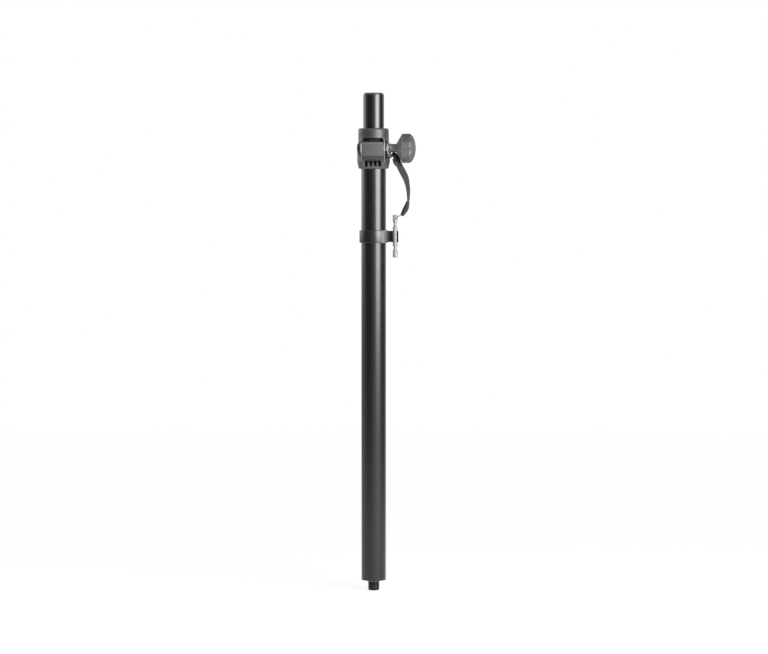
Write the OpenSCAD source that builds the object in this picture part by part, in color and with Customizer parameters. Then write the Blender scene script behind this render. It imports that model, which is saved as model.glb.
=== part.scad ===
// Telescopic speaker pole: threaded foot, clamp collar, upper tube, and a locking pin on a lanyard
// The origin is the foot of the lower tube on its axis, +Z runs up the pole
// The collar's barrel faces -Y and its knob is on +X

/* [Tubes] */
// Outside diameter of the lower tube
lower_od = 41.3; // [40.5:0.1:44]
// Wall of the lower tube
lower_wall = 2; // [1.5:0.1:2.4]
// Length of the lower tube
lower_len = 714; // [660:1:900]
// Outside diameter of the upper tube
upper_od = 35; // [33:0.1:35.6]
// Wall of the upper tube
upper_wall = 1.5; // [1:0.1:2.5]
// Length of upper tube left bare above the collar, for the speaker's socket
seat_len = 55; // [40:1:80]
// Length of the slide bush on the upper tube's foot
bush_len = 49.7; // [30:0.1:90]
// Diameter of the cross holes for the locking pin
hole_d = 9; // [8.5:0.1:11]
// Distance from one cross hole to the next
hole_pitch = 60; // [40:1:60]
// Number of cross holes
hole_count = 10; // [2:1:10]

/* [Foot] */
// Outside diameter of the base stud's thread
stud_d = 20; // [18:0.5:24]
// Length of the stud below the tube
stud_len = 17.7; // [14:0.1:30]
// Diameter of the stud's plain shank in the plug
shank_d = 16; // [12:0.5:17]
// Length of the base plug
plug_len = 45; // [30:1:60]
// Diameter of the rivets that hold the plug
plug_rivet_d = 5; // [3:0.5:6]

/* [Collar] */
// Outside diameter of the collar's widest band
band_od = 55; // [53:0.1:62]
// Height of the collar
collar_h = 68; // [66:0.5:90]
// How far the lower tube goes into the collar
socket_depth = 20; // [18:0.5:24]
// Height of the clamp bolt above the lower tube's end
bolt_up = 14.7; // [14:0.1:16]
// Distance of the clamp bolt in front of the tube's axis
bolt_out = 23; // [22.5:0.1:25]
// Width of the barrel block between the end caps
barrel_w = 35.4; // [32:0.1:36]
// Wall of the barrel in front of and above the jaws
barrel_wall = 4.5; // [3:0.1:6]
// Distance from one rib under the barrel to the next
rib_pitch = 7.4; // [6.5:0.1:7.8]
// Thickness of each rib
rib_t = 2.5; // [2:0.1:4]
// Number of slots between the ribs
slot_count = 4; // [2:1:4]

/* [Clamp] */
// Diameter of the two jaws
jaw_d = 18; // [17:0.1:18.4]
// Gap between the jaws when they grip
jaw_gap = 3; // [2:0.1:5]
// Diameter of the clamp bolt
bolt_d = 8; // [6:0.5:8]
// Width of the bolt's hexagon head across its flats
bolt_af = 13; // [11:0.5:14]
// Thickness of the bolt's head
bolt_head = 4.8; // [4:0.1:7]
// Outside diameter of the washers
washer_d = 16; // [15:0.5:17]
// Thickness of the washers
washer_t = 1.3; // [1:0.1:1.6]
// Height of the dome on each end cap
cap_dome = 0.9; // [0.8:0.1:1.6]

/* [Knob] */
// Diameter of the knob over its lobes
knob_d = 49.5; // [44:0.1:56]
// Length of the knob from hub to crown
knob_len = 44.4; // [40:0.1:50]
// Diameter of the hub's lip
hub_d = 15.8; // [14:0.1:16]
// Number of lobes
lobe_count = 7; // [5:1:9]
// Depth of the hollows between the lobes
lobe_depth = 1.9; // [1:0.1:3]
// Outside diameter of the threaded insert's spigot
spigot_d = 10; // [9.5:0.1:10.4]

/* [Locking pin and clip] */
// Diameter of the pin's body
pin_d = 8.2; // [7:0.1:8.4]
// Length of the pin's body between its waists
pin_body = 32; // [28:0.5:34]
// Length of the pin below its body's lower end
pin_tip = 19.3; // [16:0.1:24]
// Length of the pin above its body's upper end
pin_head = 20.3; // [18:0.1:26]
// Distance of the pin from the pole's axis, sideways
pin_x = 36.5; // [35:0.1:40]
// Distance of the pin in front of the pole's axis
pin_out = 4; // [2:0.1:5]
// Distance from the collar's foot down to the clip's middle
clip_drop = 113.4; // [112:0.1:118]
// Height of the clip band
clip_h = 21; // [16:0.5:24]
// Thickness of the clip band
clip_t = 3.2; // [2.5:0.1:4]

/* [Lanyard] */
// Width of the webbing
webbing_w = 11; // [8:0.5:12]
// Thickness of the webbing
webbing_t = 1.4; // [1:0.1:1.6]
// Wire diameter of the collar's ring
ring_wire = 2.2; // [2:0.1:2.4]
// Wire diameter of the pin's ring
small_wire = 1.3; // [1:0.1:1.4]

/* [Hidden] */
$fn = 72;

// Running clearance on the radius, and the gap left at seats
slide_gap = 0.05;
seat_gap = 0.3;

// Levels and radii that the pieces share
lower_r = lower_od / 2;
bore_r = lower_r - lower_wall;
upper_r = upper_od / 2;
upper_bore_r = upper_r - upper_wall;
collar_z = lower_len - socket_depth;
collar_top = collar_z + collar_h;
bolt_z = lower_len + bolt_up;
bolt_r = bolt_d / 2;

// Bare top of the upper tube: a turned line marks where the speaker's socket ends
line_w = 1.2;
line_deep = 0.35;
upper_top = collar_top + seat_gap + line_w + seat_len;
edge_r = 1;

// Guide bush and liner
flange_t = 2;
guide_len = 18;
guide_z = lower_len - guide_len;
liner_h = 14;
liner_r = upper_r + 2;

// Slide bush: it lands on the base plug, and its top is the stop under the guide bush
bush_floor = 4;
bush_z = plug_len + seat_gap;
upper_z = bush_z + bush_floor;
bush_top = bush_z + bush_len;
bush_rivet_d = 4;

// Cross pin that keeps the stud in its plug
stud_pin_z = plug_len * 0.75;
stud_pin_r = 2;

// Cross holes: each one comes just above the collar at one of the heights
first_hole = collar_top + pin_d / 2 - hole_pitch;

// Angles of the paired fasteners at the back of the pole
back_pair = [55, 125];

// Housing
band_r = band_od / 2;
ring_r = band_r - 1.5;
foot_r = band_r - 1.9;
top_r = band_r - 2;
corner_r = 3.2;
band_low = 12;
band_high = 35.8;
jaw_r = jaw_d / 2;
barrel_front = bolt_out + jaw_r + barrel_wall;
barrel_top = jaw_r + barrel_wall / 2;
barrel_low = bolt_up + corner_r + 3.6;
spot_r = 15.2;
pocket_h = 6;
pocket_back = upper_r + 1.6;
rib_low = bolt_z - collar_z - corner_r;
slot_floor = lower_r + 0.7;
slot_low = collar_z + 3.2;
screw_d = 4;
screw_z = collar_z + 16;

// Jaws, counted outwards from the pole's middle
cap_x = barrel_w / 2 + 0.6;
cap_t = 1.2;
dome_x = cap_x + cap_t + cap_dome;
washer_x = dome_x + washer_t;
cap_r = spot_r - 0.7;

// Knob: the ring hangs between the washer and the hub
hub_x = washer_x + 5.4;
spigot_r = spigot_d / 2;
knob_r = knob_d / 2;
rim_x = 20.3;
crown = 10.5;
insert_af = 13;
insert_x = 12.4;
insert_len = knob_len - crown - 1 - insert_x;

// Locking pin
clip_z = collar_z - clip_drop;
pin_r = pin_d / 2;
pin_z = clip_z - pin_body / 2;
pin_low = pin_z - pin_tip;
pin_high = pin_z + pin_body + pin_head;
eye_z = pin_high - 5.8;
eye_r = 1.7;
waist_r = pin_r * 0.65;
jaw_wall = 1.1;

// Collar's ring: it hangs on the spigot, leans out and is turned a little towards the front
ring_mid = 10.3;
ring_lean = 11;
ring_yaw = 9;
ring_top = [washer_x + 2.4, -bolt_out, bolt_z + spigot_r + seat_gap + ring_wire / 2];
ring_down = [cos(ring_yaw) * sin(ring_lean), -sin(ring_yaw) * sin(ring_lean), -cos(ring_lean)];

// Pin's ring: it passes through the eye and leans towards the lanyard, which grips it a little
// in front of its far end
small_mid = 9.3;
small_lean = 30;
small_grip = 40;
small_in = small_mid - 0.8;
small_out = [cos(small_lean), 0, sin(small_lean)];

// Lanyard: places beside the clamp bolt's middle, the turn of the webbing's face at each,
// and the share of its full width that it has there
strap_route = [
    [34.5, -22.6, -17.8, 40, 0.84],
    [39.2, -22.2, -23, 50, 0.94],
    [43, -21.8, -28.7, 58, 1],
    [47, -21.6, -35, 72, 1],
    [50.8, -21, -42, 85, 1],
    [54.6, -19.8, -50, 62, 1],
    [57.2, -17.8, -60, 42, 1],
    [58.6, -15.6, -70, 31, 1],
    [59, -13.6, -80, 22, 1],
    [58.6, -12, -89, 16, 1],
    [57.2, -11, -96.5, 30, 0.92],
    [55, -10.4, -103.2, 42, 0.82]
];
fold_share = 0.66;
tail_share = 0.75;
tail_open = 1.8;
tail_aside = 1.5;
layer = webbing_t + 0.25;

// Points of an arc in a profile
function arc(c, r, from, to, steps = 6) =
    [for (i = [0 : steps]) let(a = from + (to - from) * i / steps) c + r * [cos(a), sin(a)]];

// A round bar along X
module bar_x(r, x0, x1) {
    translate([x0, 0, 0]) rotate([0, 90, 0]) cylinder(r = r, h = x1 - x0);
}

// A side outline, drawn as [Y, Z], carried along X
module across(x0, x1) {
    translate([x0, 0, 0]) rotate([90, 0, 90]) linear_extrude(x1 - x0) children();
}

// A profile drawn as [radius, X], turned about X
module turned_x() {
    rotate([0, 90, 0]) rotate_extrude() children();
}

// A tube standing on a level
module pipe(r_out, r_in, z0, z1) {
    translate([0, 0, z0]) rotate_extrude()
        polygon([[r_in, 0], [r_out, 0], [r_out, z1 - z0], [r_in, z1 - z0]]);
}

// Places children where the clamp bolt crosses the pole's middle plane
module at_bolt() {
    translate([0, -bolt_out, bolt_z]) children();
}

// Round holes through one wall, looking out from the axis at an angle
module radial(angle, z, r, r0, r1) {
    translate([0, 0, z]) rotate([0, 0, angle]) bar_x(r, r0, r1);
}

module lower_tube() {
    color("#1b1b1d") difference() {
        pipe(lower_r, bore_r, 0, lower_len);
        for (a = back_pair) {
            radial(a, plug_len / 2, plug_rivet_d / 2, 0, lower_r + 1);
            radial(a, screw_z, screw_d / 2, 0, lower_r + 1);
        }
    }
}

module base_plug() {
    color("#3a3a3d") difference() {
        rotate_extrude() polygon([[shank_d / 2 + slide_gap, 0], [bore_r - slide_gap, 0],
            [bore_r - slide_gap, plug_len - 1], [bore_r - 1, plug_len],
            [shank_d / 2 + slide_gap, plug_len]]);
        for (a = back_pair) radial(a, plug_len / 2, plug_rivet_d / 2, bore_r - 7, bore_r + 1);
        translate([0, 0, stud_pin_z]) bar_x(stud_pin_r, -bore_r, bore_r);
    }
}

module base_stud() {
    color("#26262a") difference() {
        rotate_extrude() polygon([[0, -stud_len], [stud_d / 2 - 1.8, -stud_len],
            [stud_d / 2, -stud_len + 1.8], [stud_d / 2, 0], [shank_d / 2, 0],
            [shank_d / 2, plug_len - 1], [shank_d / 2 - 1, plug_len], [0, plug_len]]);
        translate([0, 0, stud_pin_z]) bar_x(stud_pin_r, -stud_d, stud_d);
    }
}

module stud_pin() {
    color("#8c8c90") translate([0, 0, stud_pin_z])
        bar_x(stud_pin_r - slide_gap / 2, -bore_r + 2, bore_r - 2);
}

// Rivet with a low domed head, along X
module rivet(r, head_r, x_in, x_head, head_h) {
    turned_x() polygon(concat([[0, x_in], [r, x_in], [r, x_head], [head_r, x_head]],
        [for (i = [0 : 5]) [head_r * cos(i * 18), x_head + head_h * sin(i * 18)]]));
}

module plug_rivets() {
    color("#1b1b1d") for (a = back_pair) translate([0, 0, plug_len / 2]) rotate([0, 0, a])
        rivet(plug_rivet_d / 2 - slide_gap, plug_rivet_d * 0.85, bore_r - 6.5, lower_r + slide_gap, 1.1);
}

// Collar turned to its outline: rounded foot, wide band, slimmer top ring
module collar_body() {
    translate([0, 0, collar_z]) rotate_extrude() polygon(concat(
        [[lower_r + slide_gap, 0]],
        arc([foot_r - corner_r, corner_r], corner_r, -90, 0),
        [[band_r, band_low], [band_r, band_high - 0.8], [band_r - 0.4, band_high], [ring_r, band_high + 1]],
        arc([top_r - corner_r, collar_h - corner_r], corner_r, 0, 90),
        [[liner_r + slide_gap, collar_h], [liner_r + slide_gap, collar_h - liner_h - seat_gap],
            [upper_r + 0.2, collar_h - liner_h - seat_gap],
            [upper_r + 0.2, socket_depth + flange_t + slide_gap],
            [lower_r + slide_gap, socket_depth + flange_t + slide_gap]]));
}

// Barrel block in front, with a rounded brow, a bevelled chin and a gusset below
module barrel_side() {
    polygon(concat(
        [[-upper_r, barrel_top]],
        arc([-barrel_front + 3.5, barrel_top - 3.5], 3.5, 90, 180),
        [[-barrel_front, -jaw_r - 3.2], [-barrel_front + 6, -barrel_low], [-foot_r + 1, -rib_low],
            [-upper_r, -rib_low]]));
}

module clamp_housing() {
    color("#232326") difference() {
        union() {
            collar_body();
            difference() {
                at_barrel();
                translate([0, 0, collar_z - 1]) cylinder(r = lower_r + 2, h = collar_h + 2);
            }
        }
        at_bolt() {
            bar_x(jaw_r + slide_gap, -band_r - 9, band_r + 9);
            for (s = [-1, 1]) to_side(s) bar_x(spot_r, barrel_w / 2, band_r + 9);
        }
        brow_pocket();
        for (i = [0 : slot_count - 1]) rib_slot((i - (slot_count - 1) / 2) * rib_pitch);
        for (a = back_pair) radial(a, screw_z, screw_d / 2, lower_r - 1, band_r + 1);
    }
}

module at_barrel() {
    translate([0, 0, bolt_z]) across(-barrel_w / 2, barrel_w / 2) barrel_side();
}

// Mirrors a piece that is drawn for +X to the other side
module to_side(s) {
    if (s < 0) mirror([1, 0, 0]) children();
    else children();
}

// Cored hollow above the barrel, with an arched ceiling
module brow_pocket() {
    arch = barrel_w * 8;
    half_w = barrel_w / 2 - 0.6;
    intersection() {
        pipe(band_r + 20, pocket_back, bolt_z + barrel_top, bolt_z + barrel_top + pocket_h * 2);
        translate([0, 0, bolt_z + barrel_top + pocket_h - arch]) rotate([90, 0, 0])
            cylinder(r = arch, h = band_r + 30);
        translate([0, 0, bolt_z + barrel_top]) rotate([90, 0, 0]) linear_extrude(band_r + 20)
            polygon([[-half_w, -1], [half_w, -1], [half_w - 1.4, pocket_h], [1.4 - half_w, pocket_h]]);
    }
}

// Slot between two ribs, open under the barrel's chin; its floor rises towards its round foot
module rib_slot(x) {
    w = rib_pitch - rib_t;
    slot_top = bolt_z - barrel_low;
    difference() {
        translate([x, 0, 0]) rotate([90, 0, 0]) linear_extrude(band_r + 20) {
            translate([0, slot_low + w / 2]) circle(r = w / 2);
            translate([-w / 2, slot_low + w / 2]) square([w, slot_top - slot_low - w / 2]);
        }
        translate([0, 0, slot_low - 1])
            cylinder(r1 = foot_r + 0.5, r2 = slot_floor, h = slot_top - slot_low - 1);
        translate([0, 0, collar_z]) cylinder(r = slot_floor, h = collar_h);
    }
}

module housing_screws() {
    color("#1b1b1d") for (a = back_pair) translate([0, 0, screw_z]) rotate([0, 0, a])
        rivet(screw_d / 2 - slide_gap, screw_d * 0.95, bore_r + slide_gap, band_r + slide_gap, 1.8);
}

module guide_bush() {
    color("#d9d6cc") rotate_extrude() polygon([[upper_r + slide_gap, guide_z],
        [bore_r - slide_gap, guide_z], [bore_r - slide_gap, lower_len], [lower_r - slide_gap, lower_len],
        [lower_r - slide_gap, lower_len + flange_t], [upper_r + slide_gap, lower_len + flange_t]]);
}

module liner_ring() {
    color("#1d1d1f") translate([0, 0, collar_top - liner_h]) rotate_extrude()
        polygon([[upper_r + slide_gap, 0], [liner_r, 0], [liner_r, liner_h - 0.9],
            [liner_r - 0.5, liner_h - 0.4], [upper_r + 0.6, liner_h - 0.4],
            [upper_r + slide_gap, liner_h - 1.2]]);
}

module upper_tube() {
    color("#1a1a1c") difference() {
        rotate_extrude() polygon(concat(
            [[upper_bore_r, upper_z], [upper_r, upper_z],
                [upper_r, upper_top - seat_len - line_w],
                [upper_r - line_deep, upper_top - seat_len - line_w],
                [upper_r - line_deep, upper_top - seat_len], [upper_r, upper_top - seat_len]],
            arc([upper_r - edge_r, upper_top - edge_r], edge_r, 0, 90, 4),
            [[upper_bore_r, upper_top]]));
        for (i = [0 : hole_count - 1]) translate([0, 0, first_hole - i * hole_pitch])
            bar_x(hole_d / 2, -upper_od, upper_od);
        for (a = [90, 270]) radial(a, upper_z + 8, bush_rivet_d / 2, 0, upper_od);
    }
}

// End cap: a plug with a low rounded crown that covers the tube's edge
module top_cap() {
    crown_h = 3;
    flat_r = upper_r - 4.1;
    rim_r = upper_r - edge_r + 0.3;
    color("#17171a") rotate_extrude() polygon(concat(
        [[0, upper_top - 2], [0, upper_top + crown_h]],
        [for (i = [0 : 6]) [flat_r + (rim_r - flat_r) * sin(i * 15), upper_top + crown_h * cos(i * 15)]],
        [[upper_bore_r - slide_gap, upper_top], [upper_bore_r - slide_gap, upper_top - 9],
            [upper_bore_r - 1, upper_top - 11], [upper_bore_r - 2.5, upper_top - 11],
            [upper_bore_r - 2.5, upper_top - 2]]));
}

module slide_bush() {
    color("#d9d6cc") difference() {
        rotate_extrude() polygon([[12, bush_z], [bore_r - 1, bush_z], [bore_r - slide_gap, bush_z + 1],
            [bore_r - slide_gap, bush_top], [upper_r + slide_gap, bush_top],
            [upper_r + slide_gap, upper_z], [12, upper_z]]);
        for (a = [90, 270]) radial(a, upper_z + 8, bush_rivet_d / 2, upper_r - 1, bore_r + 1);
    }
}

module bush_rivets() {
    color("#8c8c90") for (a = [90, 270]) radial(a, upper_z + 8, bush_rivet_d / 2 - slide_gap,
        upper_bore_r - 1.5, bore_r - 4 * slide_gap);
}

module clamp_bolt() {
    head_x = -washer_x - bolt_head;
    color("#1c1c1e") at_bolt() {
        intersection() {
            translate([head_x, 0, 0]) rotate([0, 90, 0])
                cylinder(r = bolt_af / sqrt(3), h = bolt_head, $fn = 6);
            turned_x() polygon([[0, head_x], [bolt_af / 2 - 0.4, head_x],
                [bolt_af / 2 + 1.2, head_x + 1], [bolt_af / 2 + 1.2, -washer_x], [0, -washer_x]]);
        }
        bar_x(bolt_r, -washer_x, hub_x + knob_len - crown - 3);
    }
}

// Washer from its inner face outwards, drawn for +X
module washer(hole_r) {
    at_bolt() turned_x() polygon([[hole_r, dome_x], [washer_d / 2, dome_x],
        [washer_d / 2, washer_x - 0.3], [washer_d / 2 - 0.3, washer_x], [hole_r, washer_x]]);
}

module head_washer() {
    color("#c8c8cc") mirror([1, 0, 0]) washer(bolt_r + 0.2);
}

module knob_washer() {
    color("#c8c8cc") washer(bolt_r + 0.2);
}

// Outline of an end cap: round behind the bolt, and in front a little larger than the barrel
module cap_side() {
    grow = 0.7;
    clear_y = sqrt(pow(band_r + 0.8, 2) - pow(cap_x, 2));
    translate([-bolt_out, 0]) circle(r = cap_r);
    polygon(concat([[-clear_y, barrel_top + 2]],
        arc([-barrel_front + 4 - grow, barrel_top - 1], 4, 90, 180),
        arc([-barrel_front + 2 - grow, -jaw_r - 3], 2, 180, 220),
        [[-barrel_front + 6.6 - grow, -barrel_low - 1.2], [-clear_y, -barrel_low - 1.2]]));
}

// One jaw, drawn for +X: a round stem, hollowed to the upper tube, with a domed end cap
module jaw(hole_r) {
    difference() {
        union() {
            at_bolt() bar_x(jaw_r, jaw_gap / 2, cap_x + cap_t);
            translate([0, 0, bolt_z]) across(cap_x, cap_x + cap_t) cap_side();
            at_bolt() turned_x() polygon(concat([[0, cap_x], [cap_r - 1, cap_x]],
                [for (i = [0 : 6]) [cap_r - 1 - (cap_r - 1 - washer_d / 2 - 0.4) * sin(i * 15),
                    cap_x + cap_t + cap_dome * (1 - cos(i * 15))]],
                [[0, dome_x]]));
        }
        translate([0, 0, bolt_z - 40]) cylinder(r = upper_r + slide_gap, h = 80);
        at_bolt() bar_x(hole_r, 0, dome_x + 1);
    }
}

module jaw_left() {
    color("#29292c") mirror([1, 0, 0]) jaw(bolt_r + 0.2);
}

module jaw_right() {
    color("#29292c") jaw(bolt_r + 0.2);
}

// Knob outline from the hub's lip to the crown
module knob_side() {
    polygon(concat([[0, 0]],
        arc([hub_d / 2 - 0.8, 0.8], 0.8, -90, 0, 4),
        [[hub_d / 2, 2.2], [hub_d / 2 - 1.2, 3], [hub_d / 2 - 1.4, 10.6], [hub_d / 2 + 1.2, 11.7]],
        arc([knob_r - 1.5, rim_x - 0.4], 1.5, -35, 0, 3),
        [for (i = [0 : 12]) let(r = knob_r * cos(i * 7.5))
            [r, knob_len - crown + crown * pow(max(0, 1 - pow(r / knob_r, 2)), 0.62)]]));
}

module knob() {
    hollow_r = knob_r * 0.55;
    color("#29292c") at_bolt() translate([hub_x, 0, 0]) difference() {
        turned_x() knob_side();
        for (i = [0 : lobe_count - 1]) rotate([i * 360 / lobe_count + 11, 0, 0])
            translate([0, -(knob_r + hollow_r - lobe_depth), 0]) bar_x(hollow_r, -1, knob_len + 1);
        bar_x(spigot_r + slide_gap, -1, insert_x + 1);
        translate([insert_x, 0, 0]) rotate([0, 90, 0])
            cylinder(r = insert_af / sqrt(3) + slide_gap, h = insert_len, $fn = 6);
    }
}

module knob_insert() {
    color("#a9a9ad") at_bolt() difference() {
        union() {
            bar_x(spigot_r, washer_x + slide_gap, hub_x + insert_x + 1);
            translate([hub_x + insert_x + 0.1, 0, 0]) rotate([0, 90, 0])
                cylinder(r = insert_af / sqrt(3), h = insert_len - 0.3, $fn = 6);
        }
        bar_x(bolt_r + 2 * slide_gap, washer_x - 1, hub_x + knob_len - crown - 2.2);
    }
}

// Clip: band with its gap at the back, arm to the side, and a jaw open to the front
module clip_side() {
    difference() {
        union() {
            circle(r = lower_r + slide_gap + clip_t);
            translate([lower_r, -pin_out - 1]) square([pin_x - lower_r - pin_r, 7.5]);
            translate([pin_x, -pin_out]) circle(r = pin_r + 0.1 + jaw_wall);
            translate([pin_x - pin_r - 0.1 - jaw_wall, -pin_out - pin_r - 1.2])
                square([2 * (pin_r + 0.1 + jaw_wall), pin_r + 1.2]);
        }
        circle(r = lower_r + slide_gap);
        translate([pin_x, -pin_out]) circle(r = pin_r + 0.1);
        translate([pin_x - pin_r - 0.1, -pin_out - 3 * pin_r]) square([2 * pin_r + 0.2, 3 * pin_r]);
        polygon([[0, 0], [-lower_od * 0.6, lower_od], [lower_od * 0.6, lower_od]]);
    }
}

module pin_clip() {
    color("#232326") intersection() {
        translate([0, 0, clip_z - clip_h / 2]) linear_extrude(clip_h) clip_side();
        union() {
            translate([0, 0, clip_z - clip_h / 2]) rotate_extrude()
                polygon([[0, 0], [lower_r + clip_t - 0.6, 0], [lower_r + clip_t + 0.1, 0.9],
                    [lower_r + clip_t + 0.1, clip_h - 0.9], [lower_r + clip_t - 0.6, clip_h], [0, clip_h]]);
            translate([lower_r, -lower_r, clip_z - clip_h / 2 + 1.1])
                cube([pin_x, lower_od, clip_h - 2.2]);
        }
    }
}

module locking_pin() {
    tip_r = pin_r - 0.1;
    color("#d5d5d8") difference() {
        translate([pin_x, -pin_out, 0]) rotate_extrude() polygon([[0, pin_low], [tip_r - 0.9, pin_low],
            [tip_r, pin_low + 0.9], [tip_r, pin_z - 7], [waist_r, pin_z - 5.8], [waist_r, pin_z - 1.2],
            [pin_r, pin_z], [pin_r, pin_z + pin_body], [waist_r, pin_z + pin_body + 1.3],
            [waist_r, pin_z + pin_body + 7], [tip_r, pin_z + pin_body + 8.5], [tip_r, pin_high - 0.9],
            [tip_r - 0.9, pin_high], [0, pin_high]]);
        translate([pin_x, pin_r, eye_z]) rotate([90, 0, 0])
            cylinder(r = eye_r, h = pin_out + 3 * pin_r);
    }
}

// Wire ring standing across the view, leaning from upright
module wire_ring(mid, wire, lean) {
    rotate([0, lean, 0]) rotate([0, 90, 0]) rotate_extrude() translate([mid, 0]) circle(r = wire / 2);
}

module strap_ring() {
    color("#d5d5d8") translate(ring_top + ring_mid * ring_down) rotate([0, 0, -ring_yaw])
        wire_ring(ring_mid, ring_wire, -ring_lean);
}

module pin_ring() {
    color("#d5d5d8") translate([pin_x, -pin_out, eye_z] + small_in * small_out)
        wire_ring(small_mid, small_wire, 90 - small_lean);
}

function unit(v) = v / norm(v);

// A point of the lanyard has its place, the direction across the webbing, and the width's share
function place(p) = [p[0], p[1], p[2]];
function wide(p, run) = let(w = [p[3], p[4], p[5]]) unit(w - (w * run) * run);

// Direction across the webbing for a run and a turn
function across_at(run, turn) = let(w = unit([0, 1, 0] - run[1] * run))
    cos(turn) * w + sin(turn) * cross(run, w);

// Run of a row of points at one of them
function run_at(points, i) =
    unit(place(points[min(len(points) - 1, i + 1)]) - place(points[max(0, i - 1)]));

// How far the inner edge of a ring curves away within half the fold's width
function sag(mid, wire) = let(inner = mid - wire / 2)
    inner - sqrt(pow(inner, 2) - pow(fold_share * webbing_w / 2, 2));

// Fold round a ring's wire: the points lie on a circle, and both sides leave it towards away
function fold(wire, along, away, r) = let(
        out = unit(away - (away * along) * along),
        side = cross(out, along))
    [for (a = [120 : -40 : -120])
        concat(wire - r * cos(a) * out + r * sin(a) * side, along, [fold_share])];

// Sewn tail beside the first points of a run, listed towards the fold, where it opens
function tail(points) = [for (i = [3 : -1 : 0]) let(run = run_at(points, i), w = wide(points[i], run))
    concat(place(points[i]) + (layer + tail_open * max(0, 1 - i / 2)) * cross(run, w) - tail_aside * w,
        w, [tail_share])];

// Middle between the start of a run and its tail
function start(points) = (place(points[0]) + place(tail(points)[3])) / 2;

function reversed(points) = [for (i = [len(points) - 1 : -1 : 0]) points[i]];

// Smooth curve through points, leaving out the first and the last span
function smooth(p, steps) = [
    for (i = [1 : len(p) - 3], k = [0 : i < len(p) - 3 ? steps - 1 : steps])
        let(t = k / steps, a = p[i - 1], b = p[i], c = p[i + 1], d = p[i + 2])
        0.5 * (2 * b + (c - a) * t + (2 * a - 5 * b + 4 * c - d) * t * t
            + (3 * b - a - 3 * c + d) * t * t * t)];

// One cross-section of the webbing: a flat band with bevelled edges
function band_ring(points, i) = let(
        run = run_at(points, i),
        w = wide(points[i], run),
        n = cross(run, w))
    [for (c = [[1, 0.4], [0.93, 1], [-0.93, 1], [-1, 0.4], [-1, -0.4], [-0.93, -1], [0.93, -1], [1, -0.4]])
        place(points[i]) + c[0] * points[i][6] * webbing_w / 2 * w + c[1] * webbing_t / 2 * n];

// Closed skin over a row of cross-sections
module skin(rings) {
    n = len(rings[0]);
    m = len(rings);
    polyhedron([for (r = rings, p = r) p], concat(
        [[for (i = [0 : n - 1]) i]],
        [for (j = [0 : m - 2], i = [0 : n - 1]) each [
            [j * n + i, (j + 1) * n + i, j * n + (i + 1) % n],
            [j * n + (i + 1) % n, (j + 1) * n + i, (j + 1) * n + (i + 1) % n]]],
        [[for (i = [n - 1 : -1 : 0]) (m - 1) * n + i]]), convexity = 8);
}

// Fold of the lanyard round one ring, held clear of the wire's curve
function ring_fold(wire, inwards, along, to, mid, d) = let(
        s = sag(mid, d),
        middle = wire + s / 2 * inwards)
    fold(middle, along, unit(to - middle), d / 2 + s / 2 + webbing_t / 2 + seat_gap + 0.15);

module lanyard_strap() {
    rows = [for (p = strap_route) [p[0], p[1], p[2] + bolt_z]];
    run = [for (i = [0 : len(rows) - 1])
        concat(rows[i], across_at(run_at(rows, i), strap_route[i][3]), [strap_route[i][4]])];
    back = reversed(run);
    top_fold = ring_fold(ring_top + 2 * ring_mid * ring_down, -ring_down,
        [sin(ring_yaw), cos(ring_yaw), 0], start(run), ring_mid, ring_wire);
    grip = cos(small_grip) * small_out - sin(small_grip) * [0, 1, 0];
    foot_fold = ring_fold([pin_x, -pin_out, eye_z] + small_in * small_out + small_mid * grip, -grip,
        sin(small_grip) * small_out + cos(small_grip) * [0, 1, 0], start(back), small_mid, small_wire);
    line = smooth(concat(tail(run), top_fold, run, reversed(foot_fold), reversed(tail(back))), 2);
    color("#2b2b2d") skin([for (i = [0 : len(line) - 1]) band_ring(line, i)]);
}

lower_tube();
base_plug();
base_stud();
stud_pin();
plug_rivets();
clamp_housing();
housing_screws();
guide_bush();
liner_ring();
pin_clip();
strap_ring();
lanyard_strap();
upper_tube();
top_cap();
slide_bush();
bush_rivets();
clamp_bolt();
head_washer();
jaw_left();
jaw_right();
knob_washer();
knob();
knob_insert();
locking_pin();
pin_ring();
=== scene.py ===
import math
import bpy
import numpy as np
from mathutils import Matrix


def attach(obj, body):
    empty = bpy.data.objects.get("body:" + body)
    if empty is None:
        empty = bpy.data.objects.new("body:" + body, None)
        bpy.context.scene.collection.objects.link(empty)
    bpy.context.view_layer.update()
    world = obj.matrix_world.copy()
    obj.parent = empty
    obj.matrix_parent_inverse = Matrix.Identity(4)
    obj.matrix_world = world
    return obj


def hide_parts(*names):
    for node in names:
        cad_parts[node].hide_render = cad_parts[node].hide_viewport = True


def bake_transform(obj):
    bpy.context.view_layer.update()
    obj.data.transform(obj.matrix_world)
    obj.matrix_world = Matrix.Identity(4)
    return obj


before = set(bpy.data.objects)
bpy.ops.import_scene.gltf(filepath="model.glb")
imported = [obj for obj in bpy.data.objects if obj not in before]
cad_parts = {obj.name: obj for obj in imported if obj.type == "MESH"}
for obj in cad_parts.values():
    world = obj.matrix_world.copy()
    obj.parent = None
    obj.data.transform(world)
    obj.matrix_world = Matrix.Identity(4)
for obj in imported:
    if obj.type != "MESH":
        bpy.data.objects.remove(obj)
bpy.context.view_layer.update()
mm = 0.001


# Camera: level with the collar, a little to the right, turned so that the pole stands left of the middle
camera = {
    "distance": 5.0,
    "height": 0.725,
    "azimuth": 2.4,      # degrees to the knob's side
    "turn": 0.2,         # degrees to the right
    "pitch": 3.4,        # degrees down
    "lens": 139.38,
    "sensor": 36.0,
    "clip": [0.05, 60.0],
}


def aroundPole(c):
    # The direction as an angle, with x and y that far from the pole's axis
    a = math.radians(c["azimuth"])
    return a, c["distance"] * math.sin(a), -c["distance"] * math.cos(a)


def addPiece(name, data):
    piece = bpy.data.objects.new(name, data)
    bpy.context.scene.collection.objects.link(piece)
    return piece


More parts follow.
